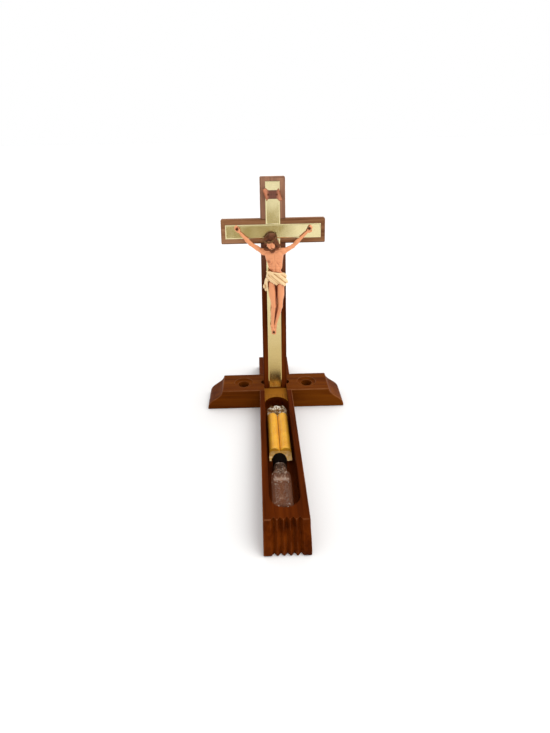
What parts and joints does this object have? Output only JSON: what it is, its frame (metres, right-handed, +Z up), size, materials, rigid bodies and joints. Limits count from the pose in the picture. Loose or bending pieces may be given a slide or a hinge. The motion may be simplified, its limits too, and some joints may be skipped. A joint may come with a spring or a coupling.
{
  "type": "sick call crucifix set",
  "caption": "Cross-shaped hardwood case that stores candles and a water bottle, with an upright brass-inlaid crucifix standing in its crossing.",
  "frame": {"origin": "on the surface the base stands on, under the middle of the crossing", "axes": "+Z up along the crucifix, +Y from the crossing towards the short rear arm, -Y towards the toe, +X along the base's right arm"},
  "size_m": [0.179, 0.3329, 0.3019],
  "materials": {
    "base_wood": "stained and satin varnished hardwood, red-brown with a golden cast on its upper faces",
    "crucifix_wood": "stained and satin varnished hardwood",
    "brass": "polished and lacquered brass sheet",
    "scroll_metal": "pressed sheet painted brown with tan curls",
    "figure_paint": "cast figure painted in matt flesh colours, brown hair and a cream cloth",
    "nail_steel": "plain steel nails",
    "beeswax": "golden beeswax, slightly translucent",
    "wick_cotton": "braided cotton",
    "clear_film": "clear crinkled cellophane",
    "clear_bottle": "clear moulded bottle",
    "black_plastic": "black ribbed screw cap",
    "liner_card": "white pulp liner"
  },
  "bodies": {
    "base": {"base_leg": "base_wood", "base_crossbar": "base_wood", "hanger_plate": "brass", "hanger_screw_front": "brass", "hanger_screw_rear": "brass"},
    "crucifix": {"crucifix_upright": "crucifix_wood", "crucifix_crossbar": "crucifix_wood", "locating_block": "crucifix_wood", "block_screw_upper": "brass", "block_screw_lower": "brass", "brass_cross_plate": "brass", "brass_head_plate": "brass", "brass_leg_plate": "brass", "title_scroll": "scroll_metal", "title_pin_left": "brass", "title_pin_right": "brass", "corpus": "figure_paint", "hand_nail_left": "nail_steel", "hand_nail_right": "nail_steel", "foot_nail": "nail_steel"},
    "candles": {"candle_left": "beeswax", "candle_right": "beeswax", "wick_left": "wick_cotton", "wick_right": "wick_cotton", "candle_wrapper": "clear_film"},
    "bottle": {"bottle_glass": "clear_bottle"},
    "cap_thread": {"cap_liner": "liner_card"},
    "cap": {"bottle_cap": "black_plastic"}
  },
  "joints": [
    {"name": "crucifix_lift", "type": "slide", "parent": "base", "child": "crucifix", "axis": [0, 0, 1], "range_m": [0, 0.06]},
    {"name": "candles_lift", "type": "slide", "parent": "base", "child": "candles", "axis": [0, 0, 1], "range_m": [0, 0.05]},
    {"name": "bottle_lift", "type": "slide", "parent": "base", "child": "bottle", "axis": [0, 0, 1], "range_m": [0, 0.05]},
    {"name": "cap_rise", "type": "slide", "parent": "bottle", "child": "cap_thread", "axis": [0, 1, 0], "range_m": [0, 0.0048]},
    {"name": "cap_turn", "type": "hinge", "parent": "cap_thread", "child": "cap", "pos_m": [-0.0016, -0.145, 0.0139], "axis": [0, 1, 0], "range_deg": [0, 542]}
  ],
  "couplings": [
    {"joint": "cap_turn", "follows": "cap_rise", "rad_per_m": 1963}
  ]
}
